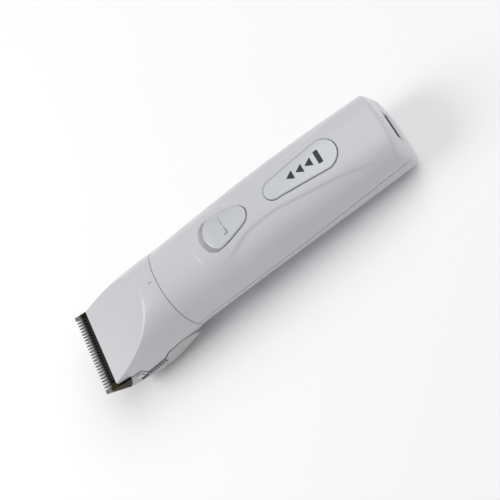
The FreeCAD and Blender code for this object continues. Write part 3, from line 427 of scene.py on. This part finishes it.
def face_outward(piece):
    work = bmesh.new()
    work.from_mesh(piece.data)
    bmesh.ops.recalc_face_normals(work, faces=work.faces)
    work.to_mesh(piece.data)
    work.free()


RIDGE = np.array([(-5.4, -6.0), (-5.8, -1.2), (-6.4, 3.9)])
HOOK = np.array([(-6.4, 3.9), (-5.2, 3.6)])
CUT = RIDGE - np.array([0.65, 0.0])
HOOK_CUT = np.array([(-7.05, 3.9), (-6.6, 4.5), (-5.5, 4.3)])


def line_gap(line, x, y):
    """Distance from points to an open line."""
    best = np.full(np.shape(x), 1e9)
    for (x0, y0), (x1, y1) in zip(line[:-1], line[1:]):
        span = (x1 - x0) ** 2 + (y1 - y0) ** 2
        part = np.clip(((x - x0) * (x1 - x0) + (y - y0) * (y1 - y0)) / span, 0, 1)
        best = np.minimum(best, np.hypot(x - x0 - part * (x1 - x0), y - y0 - part * (y1 - y0)))
    return best


BUTTON_CENTRE, BUTTON_RISE = (-5.5, 0.0), 0.62
RIDGE_HEIGHT, HOOK_HEIGHT, DISH_DEPTH = 0.52, 0.48, 0.25
CUT_DEPTH, CUT_DEEPER, CUT_HALF_WIDTH = 0.35, 0.55, 0.34


def button_relief(x, y):
    """The thumb ridge with its hook, the cut behind it, and the shallow dish in front of it."""
    ridge = RIDGE_HEIGHT * (1 - smooth(line_gap(RIDGE, x, y) / 0.55))
    hook = HOOK_HEIGHT * (1 - smooth(line_gap(HOOK, x, y) / 0.5))
    front = BUTTON_NOSE_X - x
    dish = DISH_DEPTH * smooth((x + 6.2) / 4.0) * smooth(front / 4.0) * smooth((7.5 - np.abs(y)) / 4.0)
    depth = CUT_DEPTH + CUT_DEEPER * smooth((y + 4.0) / 8.0)
    gap = np.minimum(line_gap(CUT, x, y), line_gap(HOOK_CUT, x, y))
    cut = depth * (1 - smooth(gap / CUT_HALF_WIDTH))
    return np.maximum(ridge, hook) - dish - cut


def make_button(material):
    return plate("switch_button_cap", button_outline(), BUTTON_CENTRE, BUTTON_RISE, 0.5, 0.5, material,
                 "switch", ("switch_button",), button_relief)


LENS_CENTRE, LENS_RISE, MARK_RISE = (-50.0, 0.0), 0.3, 0.05


def make_lens(material):
    return plate("lens_window", lens_outline(), LENS_CENTRE, LENS_RISE, 0.6, 0.45, material,
                 "handle", ("indicator_lens",))


def soft_polygon(corners, radius=0.35):
    """A polygon with rounded corners, evenly spaced."""
    points = []
    total = len(corners)
    corners = np.array(corners, float)
    for i in range(total):
        here, before, after = corners[i], corners[i - 1], corners[(i + 1) % total]
        first = here + (before - here) / np.linalg.norm(before - here) * radius
        last = here + (after - here) / np.linalg.norm(after - here) * radius
        for step in np.linspace(0, 1, 6):
            points.append((1 - step) ** 2 * first + 2 * step * (1 - step) * here + step ** 2 * last)
    points.append(points[0])
    return even_rows(np.array(points), 73)[:-1]


BAR = (-59.8, -57.5, 3.5)
ARROWS = ((-55.2, -51.5), (-50.4, -46.8), (-45.4, -41.7))
ARROW_HALF_WIDTH = 2.4


def make_marks(material):
    """A bar and three arrows, printed a hair proud of the lens."""
    rise = LENS_RISE + MARK_RISE
    back, front, half = BAR
    shapes = {"mark_bar": [(back, -half), (front, -half), (front, half), (back, half)]}
    for i, (base, tip) in enumerate(ARROWS):
        shapes["mark_arrow_%d" % (i + 1)] = [(base, -ARROW_HALF_WIDTH), (tip, 0), (base, ARROW_HALF_WIDTH)]
    for name, corners in shapes.items():
        outline = soft_polygon(corners)
        stands_for = ("level_marks",) if name == "mark_bar" else ()
        plate(name, outline, outline.mean(axis=0), rise, 0.0, 0.03, material, "handle",
              stands_for)


# --- Head --------------------------------------------------------------------------------

HEAD_EDGE = np.array([(30.0, 2.0), (35.9, 2.0), (36.9, 6.2), (38.9, 13.9), (45.9, 16.3),
                      (55.1, 15.8), (59.3, 13.0), (70.0, 13.0), (70.6, 18.5), (76.0, 18.9),
                      (76.3, 20.02), (90.0, 23.0)])
HEAD_OPEN_X = (35.9, 36.9)
HEAD_SHARE_Z = 23.3
HEAD_STEP = 0.35
HEAD_GIRTH = 80
BELOW_HEAD = -5.0
HEAD_EXTRA_PLACES = (35.9, 36.2, 36.5, 36.9, 70.0, 70.3, 70.6, 76.0, 76.3)
FACET_BLEND = 0.4


def facet_height(x):
    back = HEAD_FRONT_X - x
    return FACET_FRONT_Z + FACET_SLOPE * back + FACET_CURVE * back * back


def soft_min(a, b, blend):
    share = np.clip(0.5 + 0.5 * (b - a) / blend, 0, 1)
    return b * (1 - share) + a * share - blend * share * (1 - share)


def head_row(x, columns):
    """One row of points across the head: a side strip, the top and the other side strip."""
    low = float(np.interp(x, HEAD_EDGE[:, 0], HEAD_EDGE[:, 1]))
    if x <= HEAD_OPEN_X[0]:
        low = BELOW_HEAD
    start = float(angle_at_height(HEAD, x, low))
    share = float(angle_at_height(HEAD, x, HEAD_SHARE_Z))
    side = columns // 4
    parts = []
    for first, last, count in ((start, share, side), (share, math.pi - share, columns - 2 * side + 2),
                               (math.pi - share, math.pi - start, side)):
        angles = np.linspace(first, last, 500)
        row = ring(HEAD, np.full(angles.shape, x), angles)
        row[:, 2] = soft_min(row[:, 2], facet_height(x), FACET_BLEND)
        parts.append(even_rows(row, count))
    return np.concatenate([parts[0], parts[1][1:-1], parts[2]])


def make_head(material):
    places = np.unique(np.concatenate([
        HEAD_BACK_X + END_STEPS, np.arange(HEAD_BACK_X + 0.6, HEAD_FRONT_X - 0.5, HEAD_STEP),
        HEAD_FRONT_X - END_STEPS[::-1], HEAD_EXTRA_PLACES]))
    columns = int(HEAD_GIRTH / HEAD_STEP)
    rows = np.array([head_row(x, columns) for x in places])
    x = rows[..., 0]
    pull = rounded(x - HEAD_BACK_X, SEAM_ROUND) + 0.6 * rounded(HEAD_FRONT_X - x, 0.25)
    reach = np.linalg.norm(np.diff(rows, axis=1), axis=2)
    left = np.concatenate([np.zeros((len(rows), 1)), np.cumsum(reach, axis=1)], axis=1)
    open_below = x > HEAD_OPEN_X[1]
    pull += np.where(open_below, rounded(np.minimum(left, left[:, -1:] - left), 0.3), 0)
    middle = section(HEAD, x)[1]
    radius = np.hypot(rows[..., 1], rows[..., 2] - middle)
    factor = 1 - pull / radius
    rows[..., 1] *= factor
    rows[..., 2] = middle + (rows[..., 2] - middle) * factor
    piece = make_piece("front_head_skin", rows.reshape(-1, 3), grid_faces(len(rows), columns),
                       material, "handle", ("front_head",))
    return thicken(piece, HEAD_SKIN)


INDEX_BOX, INDEX_RISE = (35.9, 38.0, -0.05, 0.6), 0.03


def make_index_mark(material):
    """A short printed tick on top of the head."""
    back, front, right, left = INDEX_BOX
    outline = soft_polygon([(back, right), (front, right), (front, left), (back, left)], 0.25)
    centre = outline.mean(axis=0)
    shares = np.array([0.3, 0.7, 1.0])
    rings = np.array([centre + (outline - centre) * share for share in shares])
    height = top_height(HEAD, rings[..., 0], rings[..., 1]) + INDEX_RISE
    points = np.stack([rings[..., 0], rings[..., 1], height], axis=-1)
    skirt = points[-1].copy()
    skirt[:, 2] -= 0.15
    points = np.concatenate([points, skirt[None]])
    count = len(outline)
    faces = grid_faces(len(points), count, closed=True)
    faces.append(tuple(range(count)))
    faces.append(tuple(range((len(points) - 1) * count, len(points) * count)))
    piece = make_piece("head_index_mark", points.reshape(-1, 3), faces, material, "handle",
                       ("index_mark",))
    face_outward(piece)


# --- Materials ---------------------------------------------------------------------------

def new_material(name):
    material = bpy.data.materials.new(name)
    material.use_nodes = True
    nodes = material.node_tree.nodes
    links = material.node_tree.links
    shader = nodes["Principled BSDF"]
    return material, nodes, links, shader


def object_noise(nodes, links, scale, detail=4.0, roughness=0.55):
    """Noise fixed to the object, with its scale per metre."""
    place = nodes.new("ShaderNodeTexCoord")
    noise = nodes.new("ShaderNodeTexNoise")
    noise.inputs["Scale"].default_value = scale
    noise.inputs["Detail"].default_value = detail
    noise.inputs["Roughness"].default_value = roughness
    links.new(place.outputs["Object"], noise.inputs["Vector"])
    return noise


def ramp(nodes, links, value, stops):
    colours = nodes.new("ShaderNodeValToRGB")
    elements = colours.color_ramp.elements
    while len(elements) < len(stops):
        elements.new(0.5)
    for element, (place, colour) in zip(elements, stops):
        element.position = place
        element.color = (*colour, 1) if len(colour) == 3 else colour
    links.new(value, colours.inputs["Fac"])
    return colours


def remap(nodes, links, value, low, high):
    mapped = nodes.new("ShaderNodeMapRange")
    mapped.inputs["To Min"].default_value = low
    mapped.inputs["To Max"].default_value = high
    links.new(value, mapped.inputs["Value"])
    return mapped.outputs["Result"]


def bump(nodes, links, value, strength, distance):
    node = nodes.new("ShaderNodeBump")
    node.inputs["Strength"].default_value = strength
    node.inputs["Distance"].default_value = distance
    links.new(value, node.inputs["Height"])
    return node.outputs["Normal"]


def moulded_plastic(name, light, dark, gloss, coat=0.0, grain=900.0, grain_depth=0.00001, metallic=0.0,
                    see_through=0.0, shine=0.5):
    """Moulded plastic: slow colour drift, fine grain, and wear in its gloss."""
    material, nodes, links, shader = new_material(name)
    drift = object_noise(nodes, links, 28.0, 3.0)
    colour = ramp(nodes, links, drift.outputs["Fac"], [(0.3, dark), (0.7, light)])
    links.new(colour.outputs["Color"], shader.inputs["Base Color"])
    wear = object_noise(nodes, links, 160.0, 6.0, 0.65)
    links.new(remap(nodes, links, wear.outputs["Fac"], gloss[0], gloss[1]), shader.inputs["Roughness"])
    fine = object_noise(nodes, links, grain, 3.0)
    links.new(bump(nodes, links, fine.outputs["Fac"], 0.12, grain_depth), shader.inputs["Normal"])
    shader.inputs["Metallic"].default_value = metallic
    shader.inputs["Coat Weight"].default_value = coat
    shader.inputs["Coat Roughness"].default_value = 0.08
    shader.inputs["IOR"].default_value = 1.48
    shader.inputs["Transmission Weight"].default_value = see_through
    shader.inputs["Specular IOR Level"].default_value = shine
    return material


def metal(name, light, dark, rough, grain_axis=(1.0, 1.0, 1.0), grain=700.0):
    """Ground or drawn metal, with grain stretched along one axis."""
    material, nodes, links, shader = new_material(name)
    place = nodes.new("ShaderNodeTexCoord")
    stretch = nodes.new("ShaderNodeMapping")
    stretch.inputs["Scale"].default_value = grain_axis
    links.new(place.outputs["Object"], stretch.inputs["Vector"])
    lines = nodes.new("ShaderNodeTexNoise")
    lines.inputs["Scale"].default_value = grain
    lines.inputs["Detail"].default_value = 5.0
    links.new(stretch.outputs["Vector"], lines.inputs["Vector"])
    colour = ramp(nodes, links, lines.outputs["Fac"], [(0.3, dark), (0.7, light)])
    links.new(colour.outputs["Color"], shader.inputs["Base Color"])
    links.new(remap(nodes, links, lines.outputs["Fac"], rough[0], rough[1]), shader.inputs["Roughness"])
    links.new(bump(nodes, links, lines.outputs["Fac"], 0.3, 0.00002), shader.inputs["Normal"])
    shader.inputs["Metallic"].default_value = 1.0
    return material


# Along X, the painted shade (near-black) behind the teeth fades to ground steel between these two places.
COMB_SHADE_FADE_FROM, COMB_SHADE_FADE_TO = 86.6, 87.6


def comb_steel():
    """Comb steel: ground grey teeth, and behind them a body painted near-black as painted shade from the
    head, with a random warm tint.
    """
    material, nodes, links, shader = new_material("ground_comb_steel")
    place = nodes.new("ShaderNodeTexCoord")
    stretch = nodes.new("ShaderNodeMapping")
    stretch.inputs["Scale"].default_value = (1.0, 14.0, 1.0)
    links.new(place.outputs["Object"], stretch.inputs["Vector"])
    lines = nodes.new("ShaderNodeTexNoise")
    lines.inputs["Scale"].default_value = 900.0
    lines.inputs["Detail"].default_value = 5.0
    links.new(stretch.outputs["Vector"], lines.inputs["Vector"])
    ground = ramp(nodes, links, lines.outputs["Fac"],
                  [(0.3, (0.17, 0.17, 0.165)), (0.7, (0.26, 0.26, 0.252))])
    patches = object_noise(nodes, links, 120.0, 3.0)
    # Painted shade: near-black, slightly warm colour for the comb body lying in the shade under the head.
    painted_shade_black = ramp(nodes, links, patches.outputs["Fac"],
                     [(0.35, (0.01, 0.01, 0.007)), (0.7, (0.042, 0.035, 0.016))])
    axes = nodes.new("ShaderNodeSeparateXYZ")
    links.new(place.outputs["Object"], axes.inputs["Vector"])
    share = nodes.new("ShaderNodeMapRange")
    share.inputs["From Min"].default_value = COMB_SHADE_FADE_FROM * MM
    share.inputs["From Max"].default_value = COMB_SHADE_FADE_TO * MM
    links.new(axes.outputs["X"], share.inputs["Value"])
    # Mix the painted shade at the rear into the ground tooth colour at the tips.
    mix = nodes.new("ShaderNodeMix")
    mix.data_type = "RGBA"
    links.new(share.outputs["Result"], mix.inputs["Factor"])
    links.new(painted_shade_black.outputs["Color"], mix.inputs["A"])
    links.new(ground.outputs["Color"], mix.inputs["B"])
    links.new(mix.outputs["Result"], shader.inputs["Base Color"])
    links.new(remap(nodes, links, lines.outputs["Fac"], 0.3, 0.45), shader.inputs["Roughness"])
    links.new(bump(nodes, links, lines.outputs["Fac"], 0.3, 0.00002), shader.inputs["Normal"])
    shader.inputs["Metallic"].default_value = 0.9
    return material


def circuit_material():
    """Green solder mask with pale copper tracks under it."""
    material, nodes, links, shader = new_material("board_mask")
    place = nodes.new("ShaderNodeTexCoord")
    bricks = nodes.new("ShaderNodeTexBrick")
    bricks.inputs["Scale"].default_value = 260.0
    bricks.inputs["Mortar Size"].default_value = 0.03
    bricks.inputs["Color1"].default_value = (0.01, 0.10, 0.04, 1)
    bricks.inputs["Color2"].default_value = (0.012, 0.13, 0.05, 1)
    bricks.inputs["Mortar"].default_value = (0.05, 0.26, 0.10, 1)
    links.new(place.outputs["Object"], bricks.inputs["Vector"])
    links.new(bricks.outputs["Color"], shader.inputs["Base Color"])
    grime = object_noise(nodes, links, 300.0)
    links.new(remap(nodes, links, grime.outputs["Fac"], 0.25, 0.45), shader.inputs["Roughness"])
    return material


def make_materials():
    grey = (0.50, 0.505, 0.51)
    return {
        "white_shell": moulded_plastic("pearl_white_plastic", (0.575, 0.575, 0.592), (0.555, 0.555, 0.572),
                                       (0.28, 0.38), coat=0.25, grain=2600.0),
        "silver_trim": moulded_plastic("silver_paint", (0.60, 0.62, 0.64), (0.55, 0.57, 0.59),
                                       (0.34, 0.46), coat=0.25, grain=2600.0,
                                       grain_depth=0.00002, metallic=0.3),
        "printed_mark": moulded_plastic("dark_ink", (0.028, 0.028, 0.032), (0.018, 0.018, 0.022),
                                        (0.4, 0.6)),
        "black_plastic": moulded_plastic("black_plastic", (0.02, 0.02, 0.022),
                                         (0.012, 0.012, 0.014), (0.35, 0.5)),
        "pale_ink": moulded_plastic("pale_ink", (0.33, 0.33, 0.35), (0.28, 0.28, 0.3), (0.4, 0.6)),
        "steel": metal("bright_steel", (0.62, 0.62, 0.64), (0.48, 0.48, 0.5), (0.22, 0.36), (1, 1, 12)),
        "brass_part": metal("turned_brass", (0.74, 0.55, 0.26), (0.6, 0.43, 0.2), (0.2, 0.35), (10, 1, 1)),
        "nickel": metal("nickel_strip", (0.7, 0.68, 0.62), (0.58, 0.56, 0.5), (0.2, 0.34), (1, 12, 1)),
        "cell_wrap": moulded_plastic("cell_wrap", (0.03, 0.11, 0.30), (0.02, 0.08, 0.24),
                                     (0.2, 0.32), coat=0.3),
        "board": circuit_material(),
        "lamp": moulded_plastic("lamp_resin", (0.75, 0.8, 0.6), (0.66, 0.72, 0.5), (0.1, 0.2),
                                see_through=0.4),
        "grey_cover": moulded_plastic("smoky_cover", (0.56, 0.56, 0.565), grey, (0.16, 0.28), coat=0.4,
                                      see_through=0.15),
        "grey_slider": moulded_plastic("slider_grey", (0.36, 0.36, 0.37), (0.31, 0.31, 0.32), (0.32, 0.46)),
        "blade_steel": comb_steel(),
        "black_ceramic": moulded_plastic("black_ceramic", (0.008, 0.008, 0.008), (0.004, 0.004, 0.004),
                                         (0.42, 0.55), grain=3000.0, shine=0.3),
    }


SOFTENED = {"blade_base": 0.25, "length_slider": 0.12, "blade_catches": 0.25, "fixed_blade": 0.04,
            "moving_blade": 0.04, "drive_fork": 0.15, "blade_carrier": 0.15, "charge_socket": 0.15,
            "motor_can": 0.3, "battery_cell": 0.4, "slide_switch": 0.12, "switch_knob": 0.12}


def dress_frame(materials):
    """Give every CAD node its material and smooth its curved faces; round the edges of the nodes listed in
    SOFTENED.
    """
    slots = {row["node"]: row["material_slot"] for row in frame["record"]["subparts"]}
    for name, node in frame["nodes"].items():
        node.data.materials.clear()
        node.data.materials.append(materials[slots[name]])
        node.data.shade_smooth()
        node.data.set_sharp_from_angle(angle=math.radians(30))
        if name in SOFTENED:
            rounding = node.modifiers.new("rounded_edges", "BEVEL")
            rounding.width = SOFTENED[name] * MM
            rounding.segments = 2
            rounding.limit_method = "ANGLE"
            rounding.angle_limit = math.radians(40)


# --- Camera, floor and light -------------------------------------------------------------

CAMERA_TURN, CAMERA_LEAN, CAMERA_ROLL = math.radians(16.99), math.radians(31.47), math.radians(295.95)
CAMERA_DISTANCE, CAMERA_TARGET = 547.2, Vector((-1.44, 0.0, 7.44))
CAMERA_LENS = 84.46


def make_camera():
    back = Vector((-math.sin(CAMERA_TURN), math.cos(CAMERA_TURN) * math.sin(CAMERA_LEAN),
                   math.cos(CAMERA_TURN) * math.cos(CAMERA_LEAN)))
    level = Vector((0, 0, 1)).cross(back).normalized()
    upright = back.cross(level)
    right = math.cos(CAMERA_ROLL) * level + math.sin(CAMERA_ROLL) * upright
    up = -math.sin(CAMERA_ROLL) * level + math.cos(CAMERA_ROLL) * upright
    data = bpy.data.cameras.new("camera")
    data.lens = CAMERA_LENS
    data.sensor_width = 36.0
    data.clip_start, data.clip_end = 0.01, 20.0
    camera = bpy.data.objects.new("camera", data)
    bpy.context.scene.collection.objects.link(camera)
    turn = Matrix((right, up, back)).transposed().to_4x4()
    camera.matrix_world = Matrix.Translation((CAMERA_TARGET + back * CAMERA_DISTANCE) * MM) @ turn
    bpy.context.scene.camera = camera
    return right, up, back


def make_floor():
    mesh = bpy.data.meshes.new("floor")
    work = bmesh.new()
    bmesh.ops.create_circle(work, cap_ends=True, segments=96, radius=3.0)
    work.to_mesh(mesh)
    work.free()
    floor = bpy.data.objects.new("floor", mesh)
    bpy.context.scene.collection.objects.link(floor)
    floor.location.z = -0.0002
    material, nodes, links, shader = new_material("pale_floor")
    shader.inputs["Base Color"].default_value = (0.93, 0.93, 0.93, 1)
    shader.inputs["Roughness"].default_value = 0.9
    mesh.materials.append(material)


def make_light(name, place, size, power, colour=(1, 1, 1)):
    data = bpy.data.lights.new(name, "AREA")
    data.shape = "DISK"
    data.size = size
    data.energy = power
    data.color = colour
    light = bpy.data.objects.new(name, data)
    bpy.context.scene.collection.objects.link(light)
    light.location = place
    light.rotation_mode = "QUATERNION"
    light.rotation_quaternion = (-Vector(place)).to_track_quat("-Z", "Y")


def make_lights():
    world = bpy.data.worlds.new("studio")
    bpy.context.scene.world = world
    world.use_nodes = True
    sky = world.node_tree.nodes["Background"]
    sky.inputs["Color"].default_value = (0.97, 0.975, 1.0, 1)
    sky.inputs["Strength"].default_value = 0.42
    make_light("key", (0.75, -0.1, 0.65), 0.7, 4.6)
    make_light("overhead", (-0.75, -0.4, 1.2), 2.0, 13.4)
    make_light("near_fill", (0.1, 1.2, 0.12), 0.9, 0.5)


make_camera()
materials = make_materials()
dress_frame(materials)
make_upper_shell(materials["white_shell"])
make_lower_shell(materials["white_shell"])
make_button(materials["silver_trim"])
make_lens(materials["silver_trim"])
make_marks(materials["printed_mark"])
make_head(materials["white_shell"])
make_index_mark(materials["pale_ink"])
make_floor()
make_lights()
bpy.context.scene.view_settings.view_transform = "Standard"
